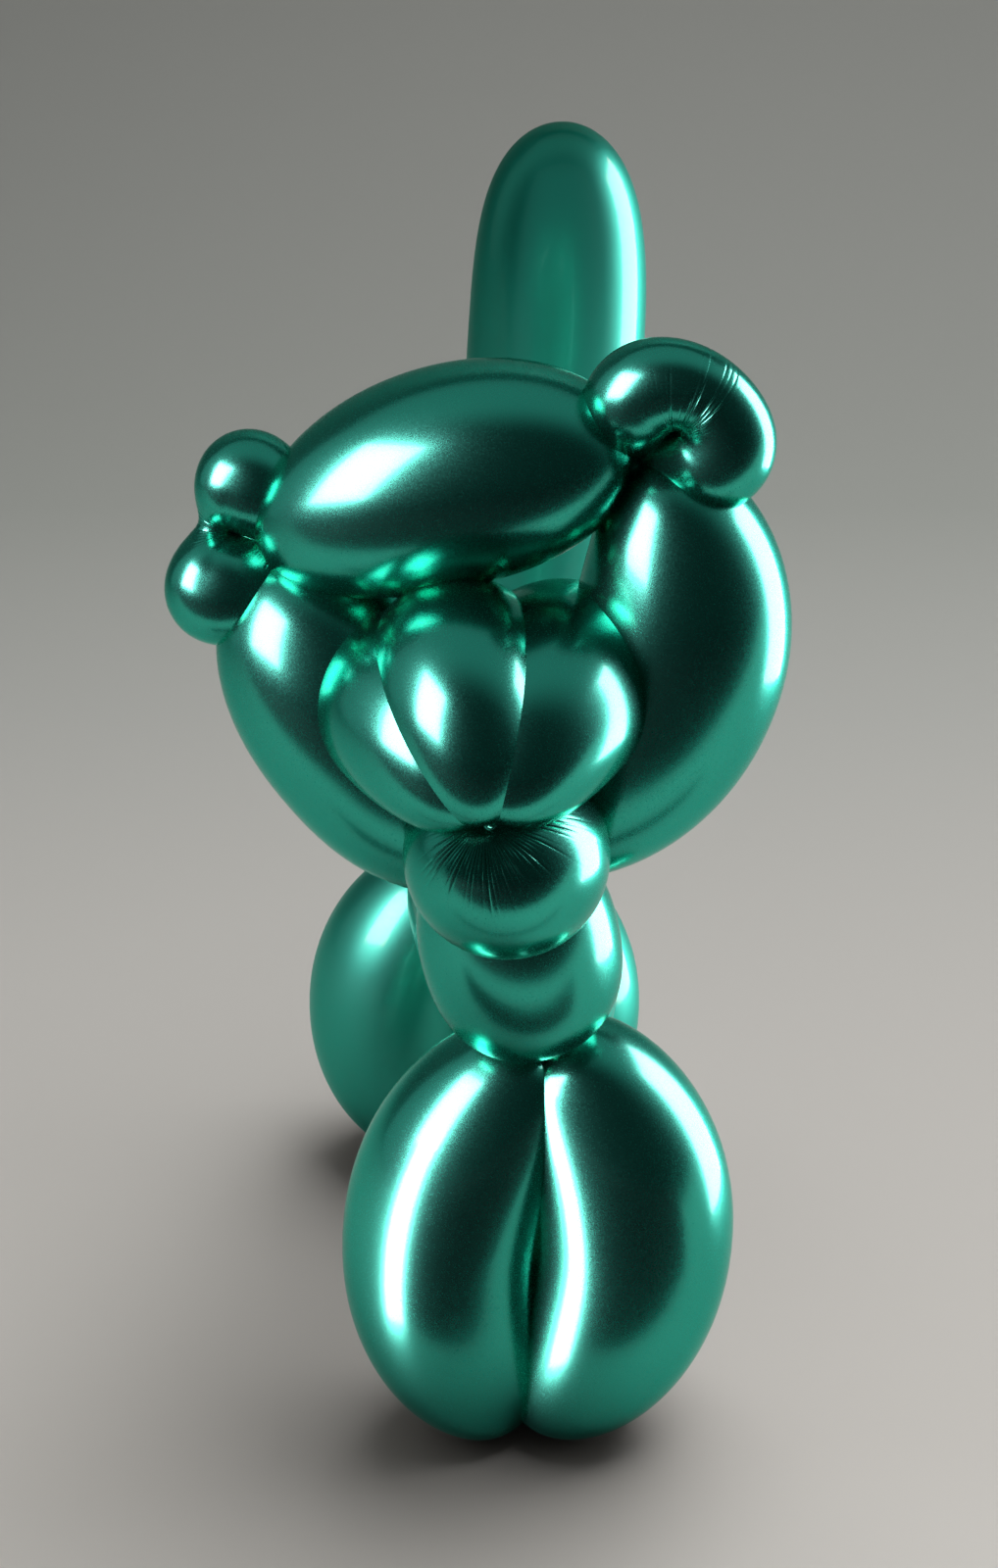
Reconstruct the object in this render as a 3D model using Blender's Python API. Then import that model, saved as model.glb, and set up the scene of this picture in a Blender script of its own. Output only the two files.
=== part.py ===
"""Balloon cat: one long modelling balloon twisted into sixteen bubbles.

Lengths are metres, +Z is up and the cat looks along -Y. The balloon is one sealed
piece of latex, so all its bubbles are united into a single solid, cut flat where
its four feet rest on the ground.
"""

import math
from typing import NamedTuple

import bmesh
import bpy
import numpy as np

# Inflated radius of the tube, and the length of each stretch between two twists
TUBE_RADIUS = 0.0272
FRONT_LEG_LENGTH = 0.1185
BACK_LEG_LENGTH = 0.0995
BODY_REACH = 0.1360
NECK_LENGTH = 0.0740
TAIL_LENGTH = 0.2320
MUZZLE_LENGTH = 0.0599
LEFT_CHEEK_LENGTH = 0.0905
RIGHT_CHEEK_LENGTH = 0.1020

# Radius of an ear's lobes
EAR_RADIUS = 0.0127

# Height of the twists between the feet above the ground, and how deep the feet are pressed flat
FRONT_TWIST_HEIGHT = 0.0050
BACK_TWIST_HEIGHT = 0.0065
FOOT_FLAT_DEPTH = 0.0008

# How many times wider than the cat the block is that presses its feet flat
GROUND_WIDTH = 2.0

# Radius of the little screw of rubber inside a joint, and of the one at the nose
TWIST_RADIUS = 0.0040
NOSE_TWIST_RADIUS = 0.0020

# Fineness: points around one bubble, rings from end to end, and detail of a knob
SIDES = 20
RINGS = 14
KNOB_SUBDIVISIONS = 2

# Edges bent by more degrees than this stay sharp: the creases where bubbles meet
CREASE_ANGLE = 50

# Width of the dimple at a bubble's end, as a share of its radius
DIMPLE = 0.45

# The skin's green, as linear RGB, and how dull its metallic sheen is
LATEX_COLOUR = (0.02, 0.33, 0.26)
LATEX_ROUGHNESS = 0.22

# Ears: how blunt the lobes and the bend between them are, and how far a lobe curls outward
LOBE_BLUNTNESS = 2.6
BEND_BLUNTNESS = 3.0
LOBE_CURL = 0.06

# Which way each stretch runs from its lower twist, as shares that unit() evens out
FRONT_LEG_RUN = (0.058, 0.056, 1.0)
BACK_LEG_RUN = (0.010, 0.0, 1.0)
BODY_DRIFT = -0.107
NECK_RUN = (-0.182, -0.170, 0.968)
TAIL_RUN = (0.106, 0.022, 0.993)
MUZZLE_RUN = (-0.040, -0.860, 0.509)
LEFT_EAR_RUN = (-0.602, 0.022, 0.803)
RIGHT_EAR_RUN = (0.306, -0.039, 0.951)


class Bubble(NamedTuple):
    """One bubble between two twists.

    Its radius, its throw (how far its middle is pushed aside) and its spill (how far
    each end swells past its twist) are shares of TUBE_RADIUS.
    """

    start: str
    end: str
    radius: float
    throw: tuple
    bluntness: float
    spill: tuple


class Ear(NamedTuple):
    """A small bubble bent double, with both ends caught in one twist.

    radius and pinch, the middle of its loop from the twist, are shares of EAR_RADIUS.
    spread is the way from one lobe to the other. offset, how far the lobes stand from
    the pinch, bend, how far beyond the pinch the bubble turns back, and bend_radius,
    its thickness there, are shares of the radius.
    """

    twist: str
    radius: float
    pinch: tuple
    spread: tuple
    offset: float
    bend: float
    bend_radius: float


BUBBLES = {
    "front_leg_left": Bubble("shoulder", "front_foot", 1.03, (-0.90, 0, 0), 2.6, (0.32, 0.066)),
    "front_leg_right": Bubble("shoulder", "front_foot", 1.05, (0.95, 0, 0), 2.5, (0.42, -0.036)),
    "back_leg_left": Bubble("rump", "back_foot", 1.03, (-0.92, 0, 0), 2.45, (0.27, 0.001)),
    "back_leg_right": Bubble("rump", "back_foot", 1.03, (0.92, 0, 0), 2.45, (0.27, -0.008)),
    "body": Bubble("shoulder", "rump", 0.99, (0, 0, 0.29), 3.0, (0.18, 0.18)),
    "tail": Bubble("rump", "tail_tip", 0.935, (0.27, 0.22, 0), 5.8, (0.14, 0)),
    "neck": Bubble("shoulder", "throat", 0.95, (-0.03, 0, 0), 2.2, (-0.18, 0.11)),
    "chin": Bubble("throat", "nose", 0.90, (0.13, -0.12, -0.22), 2.2, (0.11, -0.04)),
    "muzzle_left": Bubble("throat", "nose", 0.83, (-0.74, 0.76, 0.86), 2.6, (0.11, 0.08)),
    "muzzle_top": Bubble("throat", "nose", 0.78, (-0.28, 0.62, 1.26), 2.5, (0.11, 0.12)),
    "muzzle_right": Bubble("throat", "nose", 0.90, (0.62, 0.84, 1.01), 2.6, (0.11, 0.08)),
    "left_cheek": Bubble("left_ear", "throat", 1.03, (-0.09, 0.02, -0.33), 2.6, (0, 0.40)),
    "right_cheek": Bubble("right_ear", "throat", 0.99, (0.92, -0.05, -0.20), 2.25, (0.04, 0.15)),
    "forehead": Bubble("left_ear", "right_ear", 0.945, (0.06, -0.02, 0.355), 2.08, (0, 0.04)),
}
EARS = {
    "left_ear": Ear("left_ear", 1.00, (-0.74, 0.31, 0.34), (-0.31, -0.06, -0.95), 1.09, 0.10, 0.70),
    "right_ear": Ear("right_ear", 0.90, (0.83, -0.24, 1.01), (0.80, -0.27, -0.54), 1.08, 0.52, 0.95),
}


def unit(vector):
    """The vector at length one."""
    vector = np.asarray(vector, float)
    return vector / np.linalg.norm(vector)


def twist_points():
    """Where each twist lies, followed along the balloon from the ground up."""
    front_foot = np.array((0.0, 0.0, FRONT_TWIST_HEIGHT))
    shoulder = front_foot + FRONT_LEG_LENGTH * unit(FRONT_LEG_RUN)
    back_foot = np.array((BODY_DRIFT * BODY_REACH, BODY_REACH, BACK_TWIST_HEIGHT))
    rump = back_foot + BACK_LEG_LENGTH * unit(BACK_LEG_RUN)
    throat = shoulder + NECK_LENGTH * unit(NECK_RUN)
    return {
        "front_foot": front_foot,
        "shoulder": shoulder,
        "back_foot": back_foot,
        "rump": rump,
        "tail_tip": rump + TAIL_LENGTH * unit(TAIL_RUN),
        "throat": throat,
        "nose": throat + MUZZLE_LENGTH * unit(MUZZLE_RUN),
        "left_ear": throat + LEFT_CHEEK_LENGTH * unit(LEFT_EAR_RUN),
        "right_ear": throat + RIGHT_CHEEK_LENGTH * unit(RIGHT_EAR_RUN),
    }


def end_to_end(bluntness):
    """Places from -1 to 1 along a bubble, and its share of full thickness at each."""
    angle = np.linspace(0, math.pi, RINGS + 1)
    along = -np.sign(np.cos(angle)) * np.abs(np.cos(angle)) ** (2 / bluntness)
    return along, np.sin(angle)


def arc(start, end, throw, along):
    """Points and directions on a round arc from start to end whose middle is off by throw.

    along runs from -1 at the start to 1 at the end.
    """
    half = (end - start) / 2
    opening = 2 * math.atan2(np.linalg.norm(throw), np.linalg.norm(half))
    angle = (opening * along)[:, None]
    height = (np.cos(angle) - math.cos(opening)) / (1 - math.cos(opening))
    points = (start + end) / 2 + half * np.sin(angle) / math.sin(opening) + throw * height
    run = half * np.cos(angle) / math.sin(opening) - throw * np.sin(angle) / (1 - math.cos(opening))
    return points, run / np.linalg.norm(run, axis=1)[:, None]


def rings_between(start, end, throw, radius, bluntness, spill=(0, 0)):
    """Rings of points over a bubble from start to end; all but bluntness in metres."""
    along, fullness = end_to_end(bluntness)
    centre, run = arc(start, end, throw, along)
    across = unit(np.cross(end - start, throw))
    outward = np.cross(across, run)
    off_axis = 1 - np.exp(-((fullness / DIMPLE) ** 2))
    swell = np.where(along < 0, spill[0], spill[1]) * along**3 * off_axis
    centre = centre + swell[:, None] * run
    turn = np.linspace(0, 2 * math.pi, SIDES, endpoint=False)[None, :, None]
    spokes = np.cos(turn) * outward[:, None] + np.sin(turn) * across
    return centre[:, None] + radius * fullness[:, None, None] * spokes


def bubble_rings(bubble, twists):
    """Rings of points over one bubble, from one twist to the other."""
    return rings_between(
        twists[bubble.start],
        twists[bubble.end],
        TUBE_RADIUS * np.array(bubble.throw, float),
        TUBE_RADIUS * bubble.radius,
        bubble.bluntness,
        [TUBE_RADIUS * share for share in bubble.spill],
    )


def ear_rings(ear, twists):
    """Rings over the two lobes of an ear, and over the bend that joins them."""
    twist, radius = twists[ear.twist], ear.radius * EAR_RADIUS
    pinch = twist + EAR_RADIUS * np.array(ear.pinch)
    spread = ear.offset * radius * unit(ear.spread)
    lobes = []
    for middle, side in ((pinch - spread, -spread), (pinch + spread, spread)):
        tip = middle + radius * unit(middle - twist)
        lobes.append(rings_between(twist, tip, LOBE_CURL * side, radius, LOBE_BLUNTNESS))
    bend = ear.bend * radius * unit(ear.pinch)
    thickness = ear.bend_radius * radius
    return [*lobes, rings_between(pinch - spread, pinch + spread, bend, thickness, BEND_BLUNTNESS)]


def close_rings(bm, rings):
    """A closed body in bm from rings of points whose first and last ring are single points."""
    first, last = (bm.verts.new(rings[place, 0]) for place in (0, -1))
    loops = [[bm.verts.new(point) for point in ring] for ring in rings[1:-1]]
    count = len(loops[0])
    for side in range(count):
        other = (side + 1) % count
        bm.faces.new((first, loops[0][other], loops[0][side]))
        bm.faces.new((last, loops[-1][side], loops[-1][other]))
        for lower, upper in zip(loops, loops[1:]):
            bm.faces.new((lower[side], lower[other], upper[other], upper[side]))


def add_knob(bm, place, radius):
    """The small ball of twisted rubber at a joint."""
    made = bmesh.ops.create_icosphere(bm, subdivisions=KNOB_SUBDIVISIONS, radius=radius)
    bmesh.ops.translate(bm, verts=made["verts"], vec=place)


def balloon_shells():
    """Every bubble and knob of the balloon as closed bodies that overlap where they touch."""
    twists = twist_points()
    bm = bmesh.new()
    for bubble in BUBBLES.values():
        close_rings(bm, bubble_rings(bubble, twists))
    for ear in EARS.values():
        for rings in ear_rings(ear, twists):
            close_rings(bm, rings)
    for name, place in twists.items():
        if name not in ("tail_tip", "nose"):
            add_knob(bm, place, TWIST_RADIUS)
    add_knob(bm, twists["nose"], NOSE_TWIST_RADIUS)
    return bm


def extent(vertices):
    """The lowest and the highest corner of the box around the vertices."""
    points = np.array([vertex.co[:] for vertex in vertices])
    return points.min(axis=0), points.max(axis=0)


def ground_cutter(lowest, highest):
    """A block whose top is the ground, FOOT_FLAT_DEPTH above the lowest corner of the cat."""
    middle, size = (lowest + highest) / 2, highest - lowest
    place = (middle[0], middle[1], lowest[2] + FOOT_FLAT_DEPTH - size[2] / 2)
    bm = bmesh.new()
    bmesh.ops.create_cube(bm, size=1.0)
    bmesh.ops.scale(bm, vec=(GROUND_WIDTH, GROUND_WIDTH, 1.0), verts=bm.verts)
    bmesh.ops.scale(bm, vec=size, verts=bm.verts)
    bmesh.ops.translate(bm, vec=place, verts=bm.verts)
    block = bpy.data.meshes.new("ground")
    bm.to_mesh(block)
    bm.free()
    cutter = bpy.data.objects.new("ground", block)
    cutter.hide_render = True
    cutter.display_type = "WIRE"
    bpy.context.scene.collection.objects.link(cutter)
    return cutter


def united(bm, name):
    """One mesh from overlapping bodies, with its feet pressed flat on the ground."""
    mesh = bpy.data.meshes.new(name)
    bm.to_mesh(mesh)
    bm.free()
    shells = bpy.data.objects.new(name, mesh)
    bpy.context.scene.collection.objects.link(shells)
    ground = ground_cutter(*extent(mesh.vertices))
    cut = shells.modifiers.new("feet", "BOOLEAN")
    cut.operation = "DIFFERENCE"
    cut.object = ground
    cut.use_self = True
    bpy.context.view_layer.update()
    graph = bpy.context.evaluated_depsgraph_get()
    result = bpy.data.meshes.new_from_object(shells.evaluated_get(graph))
    for helper in (shells, ground):
        bpy.data.objects.remove(helper, do_unlink=True)
    return result


def outer_skin(bm):
    """Deletes every closed surface inside the outermost one, so that no hollow is sealed in."""
    left = set(bm.verts)
    islands = []
    while left:
        reached = {left.pop()}
        edge_of_search = list(reached)
        while edge_of_search:
            for edge in edge_of_search.pop().link_edges:
                for vertex in edge.verts:
                    if vertex in left:
                        left.remove(vertex)
                        reached.add(vertex)
                        edge_of_search.append(vertex)
        islands.append(reached)
    outermost = max(islands, key=len)
    inner = [vertex for island in islands if island is not outermost for vertex in island]
    bmesh.ops.delete(bm, geom=inner, context="VERTS")


def rubber(name):
    """The metallic skin of the balloon."""
    material = bpy.data.materials.new(name)
    material.use_nodes = True
    shader = material.node_tree.nodes["Principled BSDF"]
    shader.inputs["Base Color"].default_value = (*LATEX_COLOUR, 1.0)
    shader.inputs["Metallic"].default_value = 1.0
    shader.inputs["Roughness"].default_value = LATEX_ROUGHNESS
    return material


def build():
    """The balloon cat, its box centred on the origin and its feet on the ground."""
    for existing in list(bpy.data.objects):
        bpy.data.objects.remove(existing, do_unlink=True)
    skin = bmesh.new()
    skin.from_mesh(united(balloon_shells(), "shells"))
    outer_skin(skin)
    lowest, highest = extent(skin.verts)
    middle = (lowest + highest) / 2
    bmesh.ops.translate(skin, vec=(-middle[0], -middle[1], -lowest[2]), verts=skin.verts)
    mesh = bpy.data.meshes.new("balloon")
    skin.to_mesh(mesh)
    skin.free()
    mesh.shade_smooth()
    mesh.set_sharp_from_angle(angle=math.radians(CREASE_ANGLE))
    mesh.materials.append(rubber("metallic green latex"))
    balloon = bpy.data.objects.new("balloon", mesh)
    bpy.context.scene.collection.objects.link(balloon)
    return balloon


if __name__ == "__main__":
    build()
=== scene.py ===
"""Looks of the balloon cat: a cat twisted from one long balloon of metallic green latex.

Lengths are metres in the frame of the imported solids, +Z is up and the cat looks along -Y.
Left and right are those of someone who faces the cat.
"""

import logging
import math
from dataclasses import dataclass, field
from enum import Enum

import bpy
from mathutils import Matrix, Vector


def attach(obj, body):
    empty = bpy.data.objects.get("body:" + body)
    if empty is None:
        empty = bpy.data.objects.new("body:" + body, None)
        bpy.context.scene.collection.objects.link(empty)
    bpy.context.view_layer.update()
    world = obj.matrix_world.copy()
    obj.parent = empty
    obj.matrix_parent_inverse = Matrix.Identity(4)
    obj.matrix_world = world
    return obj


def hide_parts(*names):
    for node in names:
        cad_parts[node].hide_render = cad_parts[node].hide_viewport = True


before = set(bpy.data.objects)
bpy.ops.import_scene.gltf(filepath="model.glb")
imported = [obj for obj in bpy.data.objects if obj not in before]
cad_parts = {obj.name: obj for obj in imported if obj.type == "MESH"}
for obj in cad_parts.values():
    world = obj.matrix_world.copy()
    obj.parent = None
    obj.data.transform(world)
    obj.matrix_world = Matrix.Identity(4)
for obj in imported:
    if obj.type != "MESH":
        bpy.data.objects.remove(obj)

log = logging.getLogger("balloon_cat")

TUBE_RADIUS = 0.0272


class Wire:
    """A socket that gives a number or a vector, on which Python's operators add nodes."""

    def __init__(self, graph: "Graph", socket: bpy.types.NodeSocket) -> None:
        """Wraps one output socket.

        Args:
            graph: the graph that the socket's node is in.
            socket: the output socket.
        """
        self.graph = graph
        self.socket = socket
        self.is_vector = socket.type == "VECTOR"

    def number(self, operation: str, *values: "Wire | float") -> "Wire":
        """A Math node on these values."""
        return self.graph.get("ShaderNodeMath", {"operation": operation}, dict(enumerate(values)))

    def vector(self, operation: str, *values: "Wire", output: str = "Vector") -> "Wire":
        """A Vector Math node on these vectors."""
        settings = {"operation": operation}
        return self.graph.get("ShaderNodeVectorMath", settings, dict(enumerate(values)), output)

    def scaled(self, factor: "Wire | float") -> "Wire":
        """This vector times a number."""
        sockets = {"Vector": self, "Scale": factor}
        return self.graph.get("ShaderNodeVectorMath", {"operation": "SCALE"}, sockets, "Vector")

    def __add__(self, other: "Wire | float") -> "Wire":
        """The sum, of numbers or of vectors."""
        return self.vector("ADD", self, other) if self.is_vector else self.number("ADD", self, other)

    __radd__ = __add__

    def __sub__(self, other: "Wire | float") -> "Wire":
        """The difference, of numbers or of vectors."""
        if self.is_vector:
            return self.vector("SUBTRACT", self, other)
        return self.number("SUBTRACT", self, other)

    def __rsub__(self, other: float) -> "Wire":
        """A plain number less this one."""
        return self.number("SUBTRACT", other, self)

    def __mul__(self, other: "Wire | float") -> "Wire":
        """The product of two numbers, or of a vector and a number."""
        if self.is_vector:
            return self.scaled(other)
        if isinstance(other, Wire) and other.is_vector:
            return other.scaled(self)
        return self.number("MULTIPLY", self, other)

    __rmul__ = __mul__

    def __truediv__(self, other: "Wire | float") -> "Wire":
        """The quotient of two numbers, or of a vector and a number."""
        if self.is_vector:
            return self.scaled(1 / other)
        return self.number("DIVIDE", self, other)

    def __rtruediv__(self, other: float) -> "Wire":
        """A plain number over this one."""
        return self.number("DIVIDE", other, self)

    def __pow__(self, power: "Wire | float") -> "Wire":
        """This number to a power."""
        return self.number("POWER", self, power)

    def __neg__(self) -> "Wire":
        """This number or vector turned round."""
        return self * -1.0

    def __abs__(self) -> "Wire":
        """This number without its sign."""
        return self.number("ABSOLUTE", self)

    def sin(self) -> "Wire":
        """Sine of this angle."""
        return self.number("SINE", self)

    def cos(self) -> "Wire":
        """Cosine of this angle."""
        return self.number("COSINE", self)

    def exp(self) -> "Wire":
        """e to this power."""
        return self.number("EXPONENT", self)

    def sign(self) -> "Wire":
        """-1, 0 or 1."""
        return self.number("SIGN", self)

    def floor(self) -> "Wire":
        """The whole number at or below this one."""
        return self.number("FLOOR", self)

    def above(self, limit: "Wire | float") -> "Wire":
        """1 where this number is over the limit, and 0 elsewhere."""
        return self.number("GREATER_THAN", self, limit)

    def wrapped(self, length: "Wire | float") -> "Wire":
        """What is left over when this number is divided by length."""
        return self.number("FLOORED_MODULO", self, length)

    def angle_over(self, other: "Wire") -> "Wire":
        """The angle whose tangent is this number over the other."""
        return self.number("ARCTAN2", self, other)

    def cross(self, other: "Wire") -> "Wire":
        """Cross product."""
        return self.vector("CROSS_PRODUCT", self, other)

    def unit(self) -> "Wire":
        """This vector at length one."""
        return self.vector("NORMALIZE", self)

    def length(self) -> "Wire":
        """Length of this vector."""
        return self.vector("LENGTH", self, output="Value")


class Graph:
    """A node tree under construction."""

    def __init__(self, tree: bpy.types.NodeTree) -> None:
        """Starts on a tree.

        Args:
            tree: the tree that the nodes go into.
        """
        self.tree = tree

    def add(self, kind: str, settings: dict | None = None, sockets: dict | None = None) -> bpy.types.Node:
        """Adds one node.

        Args:
            kind: the node's type.
            settings: its own settings, set first. "stops" holds a colour ramp's stops.
            sockets: a value, a Wire or a socket for each of its inputs, by name or number.

        Returns:
            The new node.
        """
        node = self.tree.nodes.new(kind)
        for name, value in (settings or {}).items():
            if name == "stops":
                self.set_stops(node.color_ramp, value)
            else:
                setattr(node, name, value)
        for name, value in (sockets or {}).items():
            if isinstance(value, Wire):
                value = value.socket
            if isinstance(value, bpy.types.NodeSocket):
                self.tree.links.new(value, node.inputs[name])
            else:
                node.inputs[name].default_value = value
        return node

    def get(
        self, kind: str, settings: dict | None = None, sockets: dict | None = None, output: str | int = 0
    ) -> Wire:
        """Adds one node, as add does.

        Args:
            kind: the node's type.
            settings: its own settings.
            sockets: what its inputs take.
            output: the name or number of the output that is wanted.

        Returns:
            A wire on that output.
        """
        return Wire(self, self.add(kind, settings, sockets).outputs[output])

    def set_stops(self, ramp: bpy.types.ColorRamp, stops: list[tuple[float, tuple]]) -> None:
        """Gives a ramp these stops.

        Args:
            ramp: the ramp of a Color Ramp node.
            stops: place of each stop, from 0 to 1, and its colour.
        """
        while len(ramp.elements) < len(stops):
            ramp.elements.new(1.0)
        for element, (place, colour) in zip(ramp.elements, stops):
            element.position = place
            element.color = (*colour, 1.0)


class Mouth(Enum):
    """Kinds of input that a rule of shape takes."""

    NUMBER = "NodeSocketFloat"
    VECTOR = "NodeSocketVector"
    WHOLE = "NodeSocketInt"
    MATERIAL = "NodeSocketMaterial"


@dataclass(frozen=True)
class Pleats:
    """Fine folds of rubber that run out from where it is pinched.

    Args:
        depth: how deep the folds are.
        reach: how far the longest ones run.
        count: how many there are in a full turn.
    """

    depth: float = 0.0
    reach: float = 0.004
    count: int = 30


SMOOTH = Pleats()


class ShapeRule:
    """A Geometry Nodes tree that wraps a grid of points round the shape that a rule gives."""

    GROOVE_WIDTH = 0.42
    WOBBLE = 0.8

    def __init__(self, name: str, mouths: dict[str, Mouth]) -> None:
        """Builds the tree.

        Args:
            name: the tree's name.
            mouths: the rule's own inputs and their kinds.
        """
        self.tree = bpy.data.node_groups.new(name, "GeometryNodeTree")
        self.mouths = {**mouths, "Sides": Mouth.WHOLE, "Rings": Mouth.WHOLE, "Seed": Mouth.NUMBER}
        self.mouths["Finish"] = Mouth.MATERIAL
        for label, mouth in self.mouths.items():
            self.tree.interface.new_socket(name=label, in_out="INPUT", socket_type=mouth.value)
        self.tree.interface.new_socket(name="Skin", in_out="OUTPUT", socket_type="NodeSocketGeometry")
        self.graph = Graph(self.tree)
        given = self.graph.add("NodeGroupInput")
        self.given = {label: Wire(self.graph, given.outputs[label]) for label in self.mouths}
        self.finish_tree()

    def shape(self, turn: Wire, sweep: Wire) -> tuple[Wire, Wire, Wire]:
        """The rule itself.

        Args:
            turn: the angle round the tube.
            sweep: from 0 at the tube's start to pi at its end.

        Returns:
            Where the point lies, how deep a fold is there, and how close a pinch is, from 0 to 1.
        """
        raise NotImplementedError

    def finish_tree(self) -> None:
        """Lays the grid over the shape, presses the folds in and sets the finish."""
        graph, given = self.graph, self.given
        counts = {"Vertices X": given["Sides"] + 1, "Vertices Y": given["Rings"] + 1}
        grid = graph.add("GeometryNodeMeshGrid", {}, {"Size X": 1.0, "Size Y": 1.0, **counts})
        at = graph.add("ShaderNodeSeparateXYZ", {}, {0: graph.get("GeometryNodeInputPosition")})
        turn = (Wire(graph, at.outputs["X"]) + 0.5) * (2 * math.pi)
        sweep = (Wire(graph, at.outputs["Y"]) + 0.5) * math.pi
        place, fold, pinch = self.shape(turn, sweep)
        place = self.above_floor(place)
        skin = grid.outputs["Mesh"]
        for label, value in (("fold", fold), ("pinch", pinch)):
            skin = graph.add(
                "GeometryNodeStoreNamedAttribute",
                {"data_type": "FLOAT", "domain": "POINT"},
                {"Geometry": skin, "Name": label, "Value": value},
            ).outputs[0]
        skin = graph.add("GeometryNodeSetPosition", {}, {"Geometry": skin, "Position": place}).outputs[0]
        skin = graph.add("GeometryNodeMergeByDistance", {}, {"Geometry": skin, "Distance": 2e-7}).outputs[0]
        depth = graph.get("GeometryNodeInputNamedAttribute", {"data_type": "FLOAT"}, {"Name": "fold"}, 0)
        inward = graph.get("GeometryNodeInputNormal") * -depth
        skin = graph.add("GeometryNodeSetPosition", {}, {"Geometry": skin, "Offset": inward}).outputs[0]
        skin = graph.add("GeometryNodeSetShadeSmooth", {}, {"Geometry": skin}).outputs[0]
        skin = graph.add("GeometryNodeRealizeInstances", {}, {"Geometry": skin}).outputs[0]
        sockets = {"Geometry": skin, "Material": given["Finish"]}
        skin = graph.add("GeometryNodeSetMaterial", {}, sockets).outputs[0]
        graph.add("NodeGroupOutput", {}, {0: skin})

    def above_floor(self, place: Wire) -> Wire:
        """Flattens what would dip below the floor.

        Args:
            place: where the point lies.

        Returns:
            The same place, or the floor above it.
        """
        parts = self.graph.add("ShaderNodeSeparateXYZ", {}, {0: place}).outputs
        height = Wire(self.graph, parts["Z"]).number("MAXIMUM", Wire(self.graph, parts["Z"]), 0.0)
        sockets = {"X": parts["X"], "Y": parts["Y"], "Z": height}
        return self.graph.get("ShaderNodeCombineXYZ", {}, sockets)

    def folds(self, angle: Wire, distance: Wire, depth: Wire, reach: Wire, count: Wire) -> Wire:
        """Depth of the folds that run out from a pinch.

        Args:
            angle: the way from the pinch to the point, as an angle round the pinch.
            distance: how far the point is from the pinch.
            depth: depth of the folds.
            reach: how far the longest folds run.
            count: folds in a full turn.

        Returns:
            How deep the surface is pressed in at the point.
        """
        graph, seed = self.graph, self.given["Seed"]
        ways = {"X": angle.cos(), "Y": angle.sin(), "Z": seed}
        way = graph.get("ShaderNodeCombineXYZ", {}, ways)
        noise = graph.get("ShaderNodeTexNoise", {}, {"Vector": way, "Scale": 3.0, "Detail": 1.0}, 0)
        phase = angle * count / (2 * math.pi) + noise * self.WOBBLE * 2
        across = (phase * math.pi).sin() / self.GROOVE_WIDTH
        groove = (-(across * across)).exp()
        index = (phase + 0.5).floor().wrapped(count) + seed * 17.0
        chance = graph.get("ShaderNodeTexWhiteNoise", {"noise_dimensions": "1D"}, {"W": index}, "Value")
        length = reach * (0.55 + chance * 0.45)
        fade = (-((distance / length) ** 3.0)).exp()
        rise = distance / (distance + reach * 0.25)
        return depth * groove * fade * rise * (0.5 + chance * 0.5)

    def blow(self, name: str, sizes: dict, finish: bpy.types.Material) -> bpy.types.Object:
        """Makes one piece by this rule.

        Args:
            name: the piece's name.
            sizes: a value for each of the rule's inputs.
            finish: the piece's material.

        Returns:
            The piece as a plain mesh object.
        """
        seed_mesh = bpy.data.meshes.new(name + ".seed")
        piece = bpy.data.objects.new(name, seed_mesh)
        bpy.context.scene.collection.objects.link(piece)
        modifier = piece.modifiers.new("rule", "NODES")
        modifier.node_group = self.tree
        values = {**sizes, "Finish": finish}
        for item in self.tree.interface.items_tree:
            if item.in_out == "INPUT":
                modifier[item.identifier] = values[item.name]
        piece.update_tag()
        bpy.context.view_layer.update()
        evaluated = piece.evaluated_get(bpy.context.evaluated_depsgraph_get())
        mesh = bpy.data.meshes.new_from_object(evaluated)
        mesh.name = name
        piece.modifiers.remove(modifier)
        piece.data = mesh
        bpy.data.meshes.remove(seed_mesh)
        return piece


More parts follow.
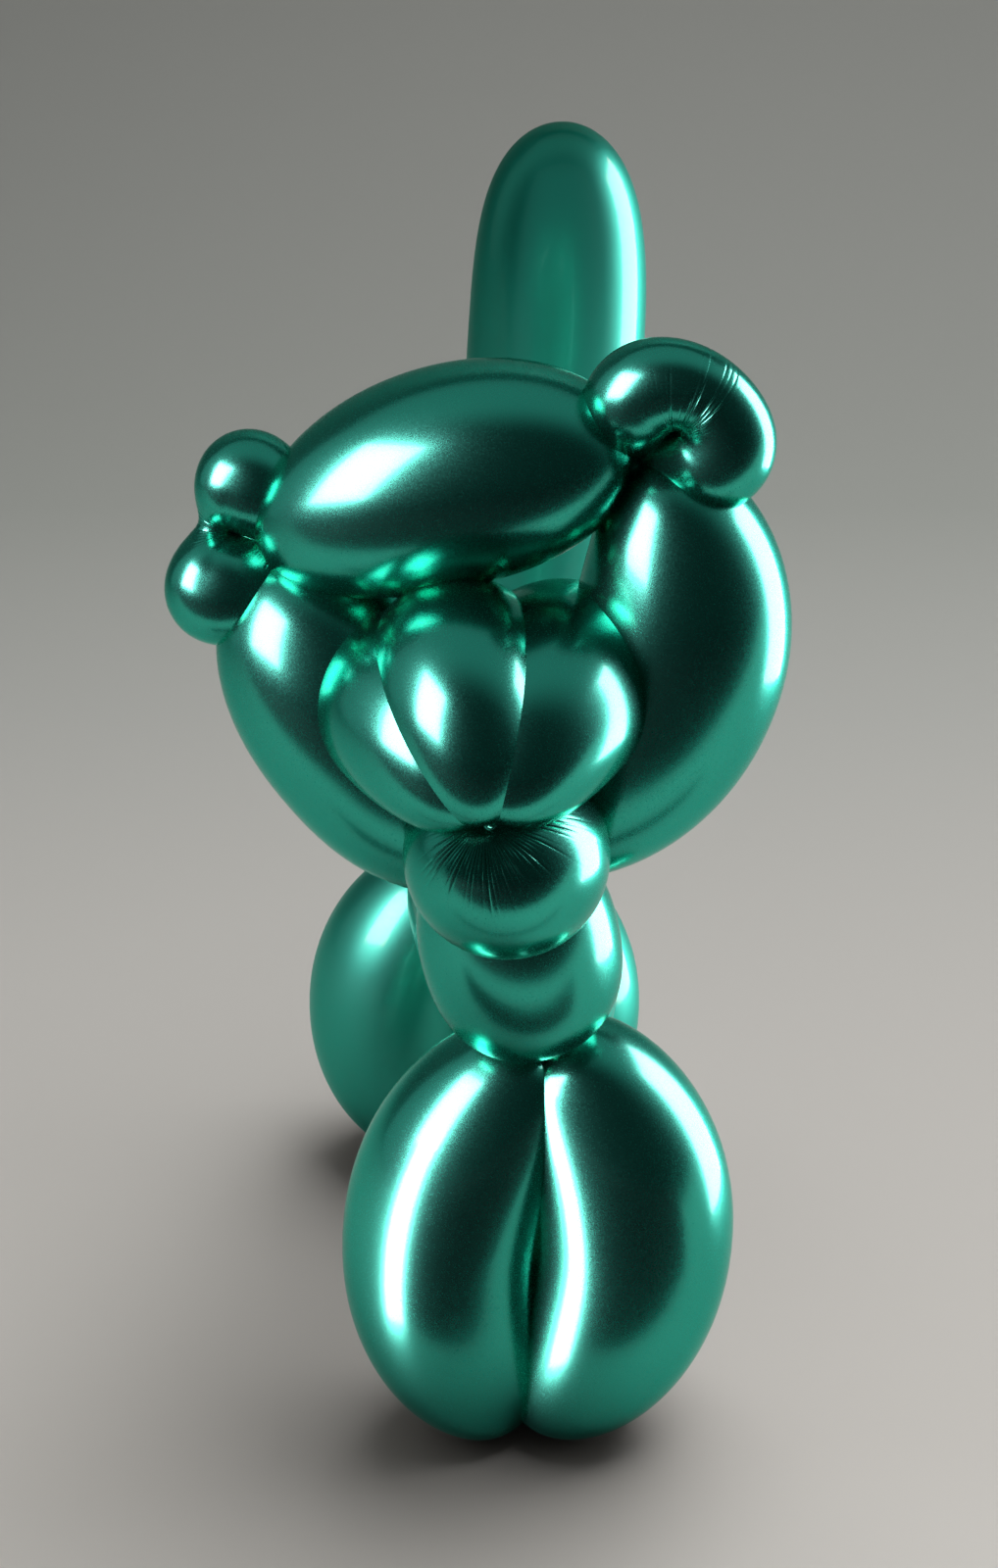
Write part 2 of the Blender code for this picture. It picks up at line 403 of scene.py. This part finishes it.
class BubbleRule(ShapeRule):
    """An inflated stretch of tube between two twists, on a round arc, swelling past its twists."""

    DIMPLE = 0.45

    def __init__(self) -> None:
        """Builds the tree with a bubble's inputs."""
        number, vector, whole = Mouth.NUMBER, Mouth.VECTOR, Mouth.WHOLE
        mouths = {"Start": vector, "End": vector, "Throw": vector, "Radius": number}
        mouths |= {"Bluntness": number, "Start Spill": number, "End Spill": number}
        for end in ("Start", "End"):
            mouths |= {f"{end} Fold Depth": number, f"{end} Fold Reach": number, f"{end} Folds": whole}
        super().__init__("bubble", mouths)

    def shape(self, turn: Wire, sweep: Wire) -> tuple[Wire, Wire, Wire]:
        """Where a point of the bubble lies, and the folds at both of its ends."""
        given = self.given
        start, end, throw, radius = (given[label] for label in ("Start", "End", "Throw", "Radius"))
        along = -sweep.cos().sign() * abs(sweep.cos()) ** (2.0 / given["Bluntness"])
        fullness = sweep.sin()
        half = (end - start) * 0.5
        opening = throw.length().angle_over(half.length()) * 2.0
        angle = opening * along
        height = (angle.cos() - opening.cos()) / (1.0 - opening.cos())
        centre = (start + end) * 0.5 + half * (angle.sin() / opening.sin()) + throw * height
        bend = throw * (angle.sin() / (1.0 - opening.cos()))
        run = (half * (angle.cos() / opening.sin()) - bend).unit()
        across = (end - start).cross(throw).unit()
        outward = across.cross(run)
        from_axis = 1.0 - (-((fullness / self.DIMPLE) ** 2.0)).exp()
        at_end = sweep.above(math.pi / 2)
        spill = given["Start Spill"] * (1.0 - at_end) + given["End Spill"] * at_end
        centre = centre + run * (spill * along**3.0 * from_axis)
        spoke = outward * turn.cos() + across * turn.sin()
        distance = fullness * radius
        place = centre + spoke * distance
        folds = []
        for label in ("Start", "End"):
            sizes = (given[f"{label} Fold Depth"], given[f"{label} Fold Reach"], given[f"{label} Folds"])
            folds.append(self.folds(turn, distance, *sizes))
        fold = folds[0] * (1.0 - at_end) + folds[1] * at_end
        pinch = (-((fullness / 0.3) ** 2.0)).exp()
        return place, fold, pinch


class EarRule(ShapeRule):
    """A small bubble bent double round a pinch, with both its ends in one twist."""

    CREASE_WIDTH = 0.12
    FAN_HALF_TURN = 0.62

    def __init__(self) -> None:
        """Builds the tree with an ear's inputs."""
        number, vector = Mouth.NUMBER, Mouth.VECTOR
        mouths = {"Pinch": vector, "Outward": vector, "Spread": vector, "Gap": number, "Radius": number}
        mouths |= {"Lean": number, "Bend Reach": number, "Bend Width": number}
        mouths |= {"Fold Depth": number, "Fold Reach": number, "Folds": Mouth.WHOLE, "Fan Turn": number}
        super().__init__("ear", mouths)

    def shape(self, turn: Wire, sweep: Wire) -> tuple[Wire, Wire, Wire]:
        """Where a point of the ear lies, and the folds that run out from its pinch."""
        given = self.given
        round_pinch = sweep * 2.0 - math.pi
        facing = round_pinch.cos()
        bend_side, crease_side = (facing + 1.0) * 0.5, (1.0 - facing) * 0.5
        base = given["Bend Reach"] * bend_side + given["Gap"] * crease_side
        lobe = given["Radius"] * (given["Lean"] * round_pinch.sin() + 1.0)
        steepness = facing * 0.6 + 1.4
        outer = base + (lobe * 2.0 - base) * abs(round_pinch.sin()) ** steepness
        radius = outer * 0.5
        ranges = {"Value": facing, "From Min": -0.4, "From Max": 0.4}
        bent = self.graph.get("ShaderNodeMapRange", {"interpolation_type": "SMOOTHSTEP"}, ranges, "Result")
        widening = bend_side**4.0 * (given["Bend Width"] - 1.0)
        creased = lobe * (abs(round_pinch.sin()) ** 0.9 * (1.0 - self.CREASE_WIDTH) + self.CREASE_WIDTH)
        width = radius * (widening + 1.0) * bent + creased * (1.0 - bent)
        away = given["Outward"] * facing + given["Spread"] * round_pinch.sin()
        hinge = given["Spread"].cross(given["Outward"])
        from_pinch = away * (radius * (turn.cos() + 1.0)) + hinge * (width * turn.sin())
        sizes = (given["Fold Depth"], given["Fold Reach"], given["Folds"])
        fold = self.folds(round_pinch, from_pinch.length(), *sizes)
        from_fan = abs(round_pinch - given["Fan Turn"]) / self.FAN_HALF_TURN
        fold = fold * (-(from_fan**8.0)).exp()
        pinch = (-((from_pinch.length() / (given["Radius"] * 0.25)) ** 2.0)).exp()
        return given["Pinch"] + from_pinch, fold, pinch


class ScrewRule(ShapeRule):
    """The little screw of rubber that a joint is twisted into."""

    RIDGES = 3.0
    RIDGE_DEPTH = 0.22
    TURNS = 1.5

    def __init__(self) -> None:
        """Builds the tree with a screw's inputs."""
        super().__init__("screw", {"Middle": Mouth.VECTOR, "Axis": Mouth.VECTOR, "Radius": Mouth.NUMBER})

    def shape(self, turn: Wire, sweep: Wire) -> tuple[Wire, Wire, Wire]:
        """Where a point of the screw lies. It has no folds, and all of it is pinched."""
        given = self.given
        aside = self.graph.get("ShaderNodeCombineXYZ", {}, {"X": 0.3, "Y": 1.0, "Z": 0.2})
        across = aside.cross(given["Axis"]).unit()
        outward = across.cross(given["Axis"])
        thread = (turn * self.RIDGES + sweep * (2 * self.TURNS)).cos()
        ridge = thread * self.RIDGE_DEPTH + (1.0 - self.RIDGE_DEPTH)
        spoke = outward * turn.cos() + across * turn.sin()
        from_middle = spoke * (sweep.sin() * ridge) - given["Axis"] * sweep.cos()
        nothing = turn * 0.0
        return given["Middle"] + from_middle * given["Radius"], nothing, nothing + 1.0


@dataclass(frozen=True)
class Twists:
    """Where the balloon's twists lie, followed from the front feet up.

    The lengths are those of the stretches between twists, and the runs are their directions.
    """

    front_foot: Vector = Vector((0.01207, -0.05186, 0.00390))
    front_leg: float = 0.1185
    front_leg_run: Vector = Vector((0.058, 0.056, 1.0))
    body: Vector = Vector((-0.014552, 0.1360, 0.0015))
    back_leg: float = 0.0995
    back_leg_run: Vector = Vector((0.010, 0.0, 1.0))
    neck: float = 0.0740
    neck_run: Vector = Vector((-0.182, -0.170, 0.968))
    tail: float = 0.2320
    tail_run: Vector = Vector((0.106, 0.022, 0.993))
    muzzle: float = 0.0599
    muzzle_run: Vector = Vector((-0.040, -0.860, 0.509))
    left_cheek: float = 0.0905
    left_ear_run: Vector = Vector((-0.602, 0.022, 0.803))
    right_cheek: float = 0.1020
    right_ear_run: Vector = Vector((0.306, -0.039, 0.951))

    def places(self) -> dict[str, Vector]:
        """Each twist's name and place."""
        shoulder = self.front_foot + self.front_leg * self.front_leg_run.normalized()
        back_foot = self.front_foot + self.body
        rump = back_foot + self.back_leg * self.back_leg_run.normalized()
        throat = shoulder + self.neck * self.neck_run.normalized()
        return {
            "front_foot": self.front_foot,
            "shoulder": shoulder,
            "back_foot": back_foot,
            "rump": rump,
            "tail_tip": rump + self.tail * self.tail_run.normalized(),
            "throat": throat,
            "nose": throat + self.muzzle * self.muzzle_run.normalized(),
            "left_ear": throat + self.left_cheek * self.left_ear_run.normalized(),
            "right_ear": throat + self.right_cheek * self.right_ear_run.normalized(),
        }


@dataclass(frozen=True)
class Latex:
    """Metallic green latex, blown up tight: mirror-like, with a fine grain of flakes.

    Args:
        name: the material's name.
        colour: the flakes' green.
        deep_colour: the darker green where the rubber is less stretched, near its twists.
        edge_colour: what is left of white light where it glances off.
        roughness: how much its mirror image blurs.
        grain: size of one speck of the grain.
    """

    name: str = "green_latex"
    colour: tuple[float, float, float] = (0.03, 0.45, 0.34)
    deep_colour: tuple[float, float, float] = (0.012, 0.26, 0.18)
    edge_colour: tuple[float, float, float] = (0.40, 0.85, 0.75)
    roughness: float = 0.25
    grain: float = 0.00035

    def material(self) -> bpy.types.Material:
        """Builds the material.

        Returns:
            The material.
        """
        made = bpy.data.materials.new(self.name)
        made.use_nodes = True
        graph = Graph(made.node_tree)
        shader = made.node_tree.nodes["Principled BSDF"]
        place = graph.get("ShaderNodeTexCoord", {}, {}, "Object")
        speck = graph.get("ShaderNodeTexNoise", {}, {"Vector": place, "Scale": 1 / self.grain, "Detail": 1.0})
        cloud = graph.get("ShaderNodeTexNoise", {}, {"Vector": place, "Scale": 30.0, "Detail": 3.0})
        pinch = graph.get("ShaderNodeAttribute", {"attribute_name": "pinch"}, {}, "Fac")
        depth = pinch * 0.8 + cloud * 0.15
        colour = graph.add(
            "ShaderNodeMix",
            {"data_type": "RGBA", "blend_type": "MIX"},
            {"Factor": depth, "A": (*self.colour, 1.0), "B": (*self.deep_colour, 1.0)},
        )
        links = made.node_tree.links
        links.new(colour.outputs[2], shader.inputs["Base Color"])
        roughness = self.roughness + (speck - 0.5) * 0.16 + (cloud - 0.5) * 0.05
        links.new(roughness.socket, shader.inputs["Roughness"])
        bump = graph.get("ShaderNodeBump", {}, {"Strength": 0.06, "Distance": 0.0001, "Height": speck})
        links.new(bump.socket, shader.inputs["Normal"])
        shader.inputs["Metallic"].default_value = 1.0
        shader.inputs["Specular Tint"].default_value = (*self.edge_colour, 1.0)
        shader.inputs["Coat Weight"].default_value = 0.25
        shader.inputs["Coat Roughness"].default_value = 0.10
        shader.inputs["Coat IOR"].default_value = 1.5
        return made


@dataclass(frozen=True)
class Bubble:
    """One stretch of the balloon between two twists.

    Args:
        name: the piece's name.
        start: the twist that it starts at.
        end: the twist that it ends at.
        radius: its thickness over that of the tube.
        throw: how far its middle is pushed aside, in tube radii.
        bluntness: 2 for an egg, more for a sausage.
        spill: how far each end swells past its twist, in tube radii.
        start_pleats: the folds at its start.
        end_pleats: the folds at its end.
    """

    name: str
    start: str
    end: str
    radius: float
    throw: tuple[float, float, float]
    bluntness: float
    spill: tuple[float, float]
    start_pleats: Pleats = SMOOTH
    end_pleats: Pleats = SMOOTH

    def sizes(self, places: dict[str, Vector]) -> dict:
        """The bubble rule's inputs, but for its fineness.

        Args:
            places: each twist's place.

        Returns:
            A value for each input.
        """
        sizes = {
            "Start": places[self.start],
            "End": places[self.end],
            "Throw": TUBE_RADIUS * Vector(self.throw),
            "Radius": TUBE_RADIUS * self.radius,
            "Bluntness": self.bluntness,
            "Start Spill": TUBE_RADIUS * self.spill[0],
            "End Spill": TUBE_RADIUS * self.spill[1],
        }
        for label, pleats in (("Start", self.start_pleats), ("End", self.end_pleats)):
            sizes[f"{label} Fold Depth"] = pleats.depth
            sizes[f"{label} Fold Reach"] = pleats.reach
            sizes[f"{label} Folds"] = pleats.count
        return sizes


@dataclass
class Workshop:
    """What every sub-assembly is made with.

    Args:
        bubbles: the rule for a bubble.
        ears: the rule for an ear.
        screws: the rule for a joint's screw.
        latex: the material of the tightest bubbles.
        satin: the duller material of the bubbles behind.
        places: each twist's place.
    """

    bubbles: BubbleRule
    ears: EarRule
    screws: ScrewRule
    latex: bpy.types.Material
    satin: bpy.types.Material
    places: dict[str, Vector]
    made: list[bpy.types.Object] = field(default_factory=list)

    def keep(self, piece: bpy.types.Object) -> bpy.types.Object:
        """Puts a finished piece on the balloon.

        Args:
            piece: the piece, in its place.

        Returns:
            The same piece.
        """
        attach(piece, "root")
        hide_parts("balloon")
        self.made.append(piece)
        log.info("%s: %d faces", piece.name, len(piece.data.polygons))
        return piece

    def blow(
        self, bubble: Bubble, sides: int = 160, rings: int = 96, finish: bpy.types.Material | None = None
    ) -> bpy.types.Object:
        """Makes one bubble and keeps it.

        Args:
            bubble: what it is like.
            sides: points round it.
            rings: rings from end to end.
            finish: its material, or None for the tightest latex.

        Returns:
            The piece.
        """
        fineness = {"Sides": sides, "Rings": rings, "Seed": float(len(self.made) + 1)}
        sizes = {**bubble.sizes(self.places), **fineness}
        return self.keep(self.bubbles.blow(bubble.name, sizes, finish or self.latex))


@dataclass
class Legs:
    """The four legs, in two pairs, with a few folds where each pair is twisted at the ground."""

    foot: Pleats = Pleats(0.0006, 0.008, 34)
    hip: Pleats = Pleats(0.0004, 0.006, 30)

    def build(self, shop: Workshop) -> None:
        """Makes the legs."""
        front = {"start": "shoulder", "end": "front_foot", "start_pleats": self.hip, "end_pleats": self.foot}
        hind = {"start": "rump", "end": "back_foot", "start_pleats": self.hip, "end_pleats": self.foot}
        for name, pair, radius, throw, bluntness, spill in (
            ("front_leg_left", front, 1.03, (-0.90, 0, 0), 2.6, (0.32, 0.066)),
            ("front_leg_right", front, 1.05, (0.95, 0, 0), 2.5, (0.42, -0.036)),
            ("back_leg_left", hind, 1.03, (-0.92, 0, 0), 2.45, (0.27, 0.001)),
            ("back_leg_right", hind, 1.03, (0.92, 0, 0), 2.45, (0.27, -0.008)),
        ):
            leg = Bubble(name=name, radius=radius, throw=throw, bluntness=bluntness, spill=spill, **pair)
            shop.blow(leg, sides=200, rings=110, finish=shop.satin if pair is hind else shop.latex)


@dataclass
class Trunk:
    """The back, the neck and the long upright tail."""

    hip: Pleats = Pleats(0.0004, 0.006, 30)

    def build(self, shop: Workshop) -> None:
        """Makes the three bubbles."""
        pleats = {"start_pleats": self.hip, "end_pleats": self.hip}
        body = Bubble("body", "shoulder", "rump", 0.99, (0, 0, 0.29), 3.0, (0.18, 0.18), **pleats)
        shop.blow(body, finish=shop.satin)
        tail = Bubble("tail", "rump", "tail_tip", 0.935, (0.27, 0.22, 0), 5.8, (0.14, 0), self.hip)
        shop.blow(tail, rings=160, finish=shop.satin)
        shop.blow(Bubble("neck", "shoulder", "throat", 0.95, (-0.03, 0, 0), 2.2, (-0.28, 0.11), **pleats))


@dataclass
class Head:
    """The forehead, both cheeks, and the four bubbles of the muzzle that meet at the nose."""

    hip: Pleats = Pleats(0.0004, 0.006, 30)
    nose: Pleats = Pleats(0.0003, 0.007, 34)
    chin: Pleats = Pleats(0.0011, 0.0140, 72)

    def build(self, shop: Workshop) -> None:
        """Makes the seven bubbles."""
        for name, radius, throw, bluntness, nose_spill, pleats in (
            ("chin", 0.90, (0.13, -0.12, -0.22), 2.2, -0.04, self.chin),
            ("muzzle_left", 0.83, (-0.74, 0.76, 0.86), 2.6, 0.08, self.nose),
            ("muzzle_top", 0.78, (-0.28, 0.51, 1.31), 2.5, 0.12, self.nose),
            ("muzzle_right", 0.90, (0.62, 0.92, 0.97), 2.6, 0.08, self.nose),
        ):
            spill = (0.11, nose_spill)
            bubble = Bubble(name, "throat", "nose", radius, throw, bluntness, spill, self.hip, pleats)
            shop.blow(bubble, sides=560 if name == "chin" else 200)
        ends = {"start_pleats": self.hip, "end_pleats": self.hip}
        for bubble in (
            Bubble("left_cheek", "left_ear", "throat", 1.03, (-0.09, 0.02, -0.33), 2.6, (0, 0.40), **ends),
            Bubble("right_cheek", "right_ear", "throat", 0.99, (0.92, -0.05, -0.20), 2.25, (0.04, 0.15), **ends),
            Bubble("forehead", "left_ear", "right_ear", 0.945, (0.06, -0.02, 0.355), 2.08, (0, 0.04), **ends),
        ):
            shop.blow(bubble, sides=200, rings=110)


@dataclass
class Ear:
    """One ear, a small bubble bent double.

    Args:
        name: the piece's name, which is also its twist's.
        lobe: radius of its two lobes.
        lean: by how much the lobe on the side of spread is bigger than the middle size.
        pinch: where its pinch lies from the twist.
        spread: the way from one lobe to the other.
        bend_reach: how far beyond the pinch the bubble turns back.
        bend_width: its width there, over its thickness.
        pleats: the folds at its pinch.
        fan_turn: the way that the folds point, as an angle from outward to spread.
    """

    name: str
    lobe: float
    lean: float
    pinch: Vector
    spread: Vector
    bend_reach: float
    bend_width: float
    pleats: Pleats
    fan_turn: float

    def build(self, shop: Workshop) -> None:
        """Makes the ear."""
        spread = self.spread.normalized()
        outward = self.pinch - spread * self.pinch.dot(spread)
        sizes = {
            "Pinch": shop.places[self.name] + self.pinch,
            "Outward": outward.normalized(),
            "Spread": spread,
            "Gap": self.pinch.length,
            "Radius": self.lobe,
            "Lean": self.lean,
            "Bend Reach": self.bend_reach,
            "Bend Width": self.bend_width,
            "Fold Depth": self.pleats.depth,
            "Fold Reach": self.pleats.reach,
            "Folds": self.pleats.count,
            "Fan Turn": self.fan_turn,
            "Sides": 120,
            "Rings": 520,
            "Seed": float(len(shop.made) + 1),
        }
        shop.keep(shop.ears.blow(self.name, sizes, shop.latex))


@dataclass
class Joints:
    """The screws of twisted rubber in the joints, and the one that shows at the nose."""

    radius: float = 0.0038
    nose_radius: float = 0.0019

    def build(self, shop: Workshop) -> None:
        """Makes a screw at each joint."""
        for name, axis in (
            ("front_foot", Vector((0.0, 0.0, 1.0))),
            ("shoulder", Vector((0.0, 0.0, 1.0))),
            ("back_foot", Vector((0.0, 0.0, 1.0))),
            ("rump", Vector((0.0, 0.0, 1.0))),
            ("throat", Vector((0.0, 0.0, 1.0))),
            ("left_ear", Vector((1.0, 0.0, 0.0))),
            ("right_ear", Vector((1.0, 0.0, 0.0))),
        ):
            self.turn(shop, name, shop.places[name], axis, self.radius)
        tip = shop.places["nose"] + Vector((0.001, -0.001, 0.0))
        self.turn(shop, "nose", tip, Vector((1.0, 0.0, 0.0)), self.nose_radius)

    def turn(self, shop: Workshop, name: str, middle: Vector, axis: Vector, radius: float) -> None:
        """Makes one screw.

        Args:
            shop: what it is made with.
            name: the joint's name.
            middle: where the screw lies.
            axis: the way that its thread runs.
            radius: its radius.
        """
        sizes = {"Middle": middle, "Axis": axis, "Radius": radius, "Sides": 64, "Rings": 32, "Seed": 1.0}
        shop.keep(shop.screws.blow(f"{name}_screw", sizes, shop.latex))


class Linking(Enum):
    """What a group of pieces is to a light."""

    RECEIVER = "receiver_collection"
    BLOCKER = "blocker_collection"


@dataclass
class Stage:
    """The pale floor and wall, the lights and the camera.

    Args:
        turned_down: how far below level the camera looks, in degrees.
        focal_pixels: the camera's focal length in pixels of the photograph's height.
        softbox_colour: a rosy white, which the green skin mirrors as a plain white.
        cloths: the floor and the black cloths, once they are in place.
    """

    camera_place: Vector = Vector((0.00597, -0.61836, 0.49290))
    turned_down: float = 27.0
    focal_pixels: float = 2611.0
    photo_height: float = 1600.0
    sensor: float = 36.0
    softbox_colour: tuple[float, float, float] = (1.0, 0.34, 0.37)
    cloths: list[bpy.types.Object] = field(default_factory=list)

    def build(self, shop: Workshop) -> None:
        """Makes all of it, with the balloon's pieces for the lights that reach only some of them."""
        self.lay_floor()
        self.hang_flags()
        self.hang_lights(shop)
        self.set_world()
        self.set_camera()

    def grey(self, name: str, colour: tuple[float, float, float], roughness: float) -> bpy.types.Material:
        """A plain matt material.

        Args:
            name: the material's name.
            colour: its colour.
            roughness: its roughness.

        Returns:
            The material.
        """
        made = bpy.data.materials.new(name)
        made.use_nodes = True
        shader = made.node_tree.nodes["Principled BSDF"]
        shader.inputs["Base Color"].default_value = (*colour, 1.0)
        shader.inputs["Roughness"].default_value = roughness
        return made

    def paper(self) -> bpy.types.Material:
        """Pale paper that is a little darker and greener up the wall, and darker at the very front.

        Returns:
            The material.
        """
        made = self.grey("pale_paper", (0.6, 0.6, 0.58), 0.7)
        graph = Graph(made.node_tree)
        at = graph.add("ShaderNodeSeparateXYZ", {}, {0: graph.get("ShaderNodeTexCoord", {}, {}, "Object")})
        along = (Wire(graph, at.outputs["Y"]) + 0.25) / 1.5
        stops = [
            (0.0, (0.92, 0.89, 0.84)),
            (0.13, (0.74, 0.71, 0.67)),
            (0.28, (0.62, 0.60, 0.57)),
            (0.45, (0.49, 0.49, 0.465)),
            (0.62, (0.39, 0.40, 0.375)),
            (0.92, (0.37, 0.375, 0.355)),
        ]
        shade = graph.get("ShaderNodeValToRGB", {"stops": stops}, {"Fac": along}, "Color")
        shader = made.node_tree.nodes["Principled BSDF"]
        shader.inputs["Specular IOR Level"].default_value = 0.0
        made.node_tree.links.new(shade.socket, shader.inputs["Base Color"])
        return made

    def lay_floor(self) -> None:
        """The floor and the wall behind, in one sweep."""
        half_width, front, back, top, corner = 2.2, -2.2, 1.15, 2.2, 0.35
        profile = [(front, 0.0), (back - corner, 0.0)]
        for step in range(1, 13):
            angle = math.pi / 2 * step / 12
            profile.append((back - corner + corner * math.sin(angle), corner - corner * math.cos(angle)))
        profile.append((back, top))
        points = [(x, y, z) for y, z in profile for x in (-half_width, half_width)]
        faces = [(2 * row, 2 * row + 1, 2 * row + 3, 2 * row + 2) for row in range(len(profile) - 1)]
        mesh = bpy.data.meshes.new("sweep")
        mesh.from_pydata(points, [], faces)
        mesh.shade_smooth()
        mesh.materials.append(self.paper())
        sweep = bpy.data.objects.new("sweep", mesh)
        bpy.context.scene.collection.objects.link(sweep)
        self.cloths.append(sweep)

    def light(
        self, name: str, toward: Vector, place: Vector, size: tuple[float, float], watts: float,
        colour: tuple[float, float, float] = (1.0, 1.0, 1.0),
    ) -> bpy.types.Object:
        """Hangs one softbox.

        Args:
            name: the light's name.
            toward: the point that it faces.
            place: where it hangs.
            size: its width and height.
            watts: its power.
            colour: its colour.

        Returns:
            The light.
        """
        data = bpy.data.lights.new(name, "AREA")
        data.shape = "RECTANGLE"
        data.size, data.size_y = size
        data.energy = watts
        data.color = colour
        lamp = bpy.data.objects.new(name, data)
        lamp.location = place
        lamp.rotation_euler = (toward - place).to_track_quat("-Z", "Y").to_euler()
        lamp.visible_camera = False
        bpy.context.scene.collection.objects.link(lamp)
        return lamp

    def hang_flag(self, name: str, corners: list[tuple[float, float, float]]) -> None:
        """Hangs one black cloth that is seen only in the cat's skin, where the room is dark.

        Args:
            name: the cloth's name.
            corners: its four corners.
        """
        mesh = bpy.data.meshes.new(name)
        mesh.from_pydata(corners, [], [(0, 1, 2, 3)])
        mesh.materials.append(self.grey(name, (0.01, 0.01, 0.01), 0.9))
        flag = bpy.data.objects.new(name, mesh)
        bpy.context.scene.collection.objects.link(flag)
        flag.visible_camera = flag.visible_diffuse = flag.visible_shadow = False
        self.cloths.append(flag)

    def hang_flags(self) -> None:
        """A cloth over the floor far in front, and a low one that stands before the legs."""
        wide, near, far, lift = 2.2, -0.31, -2.2, 0.001
        self.hang_flag("far_flag", [(-wide, far, lift), (wide, far, lift), (wide, near, lift), (-wide, near, lift)])
        left, right, place, top = -0.12, 0.16, -0.135, 0.085
        low = [(left, place, lift), (right, place, lift), (right, place, top), (left, place, top)]
        self.hang_flag("leg_flag", low)

    def link(self, lamp: bpy.types.Object, role: Linking, pieces: list[bpy.types.Object], state: str) -> None:
        """Lets a light reach only these pieces or all but these, or lets them block it or not.

        Args:
            lamp: the light.
            role: whether the pieces receive the light or block it.
            pieces: the pieces.
            state: INCLUDE or EXCLUDE.
        """
        group = bpy.data.collections.new(f"{lamp.name}_{role.value}")
        for piece in pieces:
            group.objects.link(piece)
        setattr(lamp.light_linking, role.value, group)
        for member in group.collection_objects:
            member.light_linking.link_state = state

    def hang_lights(self, shop: Workshop) -> None:
        """The softboxes that the skin mirrors, and a wide soft one overhead for the floor."""
        pieces = {piece.name: piece for piece in shop.made}
        middle = Vector((0.0, 0.0, 0.17))
        key = self.light("key", middle, Vector((-0.95, -0.62, 0.80)), (0.72, 0.90), 60.0, self.softbox_colour)
        self.link(key, Linking.RECEIVER, [pieces["tail"], pieces["chin"]], "EXCLUDE")
        place, level = Vector((1.12, 0.42, 0.25)), Vector((0.0, 0.0, 0.25))
        side = self.light("side", level, place, (0.72, 1.3), 64.0, self.softbox_colour)
        place, level = Vector((-0.41, -0.33, -0.02)), Vector((0.01, -0.05, -0.02))
        strip = self.light("leg_strip", level, place, (0.18, 0.60), 13.0, self.softbox_colour)
        legs = [pieces[name] for name in ("front_leg_left", "front_leg_right")]
        self.link(strip, Linking.RECEIVER, legs, "INCLUDE")
        for lamp in (side, strip):
            self.link(lamp, Linking.BLOCKER, self.cloths, "EXCLUDE")
        place, behind = Vector((0.01, 0.0, 0.27)), Vector((0.01, 0.5, 0.27))
        card = self.light("tail_card", behind, place, (0.24, 0.40), 0.068)
        self.link(card, Linking.RECEIVER, [pieces["tail"]], "INCLUDE")
        for lamp in (key, side, strip, card):
            lamp.visible_diffuse = False
        ceiling = self.light("ceiling", middle, Vector((0.45, 0.35, 1.6)), (1.5, 1.5), 22.5)
        ceiling.visible_glossy = False

    def set_world(self) -> None:
        """A room that is pale behind and above the cat, and dark in front of it."""
        world = bpy.data.worlds.new("room")
        bpy.context.scene.world = world
        world.use_nodes = True
        graph = Graph(world.node_tree)
        way = graph.get("ShaderNodeTexCoord", {}, {}, "Generated")
        edge = graph.get("ShaderNodeCombineXYZ", {}, {"X": 0.0, "Y": 0.956, "Z": 0.292})
        behind = way.vector("DOT_PRODUCT", way, edge, output="Value")
        sockets = {"Value": behind, "From Min": -0.30, "From Max": 0.26, "To Min": 0.025, "To Max": 0.30}
        pale = graph.add("ShaderNodeMapRange", {"interpolation_type": "SMOOTHSTEP"}, sockets)
        background = world.node_tree.nodes["Background"]
        background.inputs["Color"].default_value = (0.98, 1.0, 0.97, 1.0)
        world.node_tree.links.new(pale.outputs["Result"], background.inputs["Strength"])

    def set_camera(self) -> None:
        """The camera at the photograph's place and angle."""
        data = bpy.data.cameras.new("camera")
        data.sensor_width = self.sensor
        data.lens = self.sensor * self.focal_pixels / self.photo_height
        camera = bpy.data.objects.new("camera", data)
        camera.location = self.camera_place
        camera.rotation_euler = (math.radians(90.0 - self.turned_down), 0.0, 0.0)
        bpy.context.scene.collection.objects.link(camera)
        bpy.context.scene.camera = camera


def main() -> None:
    """Builds the cat, then the stage around it."""
    logging.basicConfig(level=logging.INFO, format="%(name)s: %(message)s")
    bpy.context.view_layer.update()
    satin = Latex(name="satin_green_latex", colour=(0.022, 0.38, 0.285), roughness=0.40)
    finishes = (Latex().material(), satin.material())
    shop = Workshop(BubbleRule(), EarRule(), ScrewRule(), *finishes, Twists().places())
    ear_radius = 0.0127
    left = Ear(
        name="left_ear",
        lobe=1.03 * ear_radius,
        lean=0.05,
        pinch=ear_radius * Vector((-0.57, 0.29, 0.40)),
        spread=Vector((-0.28, -0.21, -0.94)),
        bend_reach=0.75 * ear_radius,
        bend_width=1.25,
        pleats=Pleats(0.0004, 0.013, 56),
        fan_turn=0.0,
    )
    right = Ear(
        name="right_ear",
        lobe=0.93 * ear_radius,
        lean=0.05,
        pinch=ear_radius * Vector((0.72, -0.28, 0.92)),
        spread=Vector((0.84, 0.056, -0.64)),
        bend_reach=1.55 * ear_radius,
        bend_width=1.0,
        pleats=Pleats(0.0012, 0.0155, 84),
        fan_turn=-0.28,
    )
    for part in (Legs(), Trunk(), Head(), left, right, Joints()):
        part.build(shop)
    Stage().build(shop)
    scene = bpy.context.scene
    scene.view_settings.view_transform = "Standard"
    scene.cycles.caustics_reflective = False


if __name__ == "__main__":
    main()
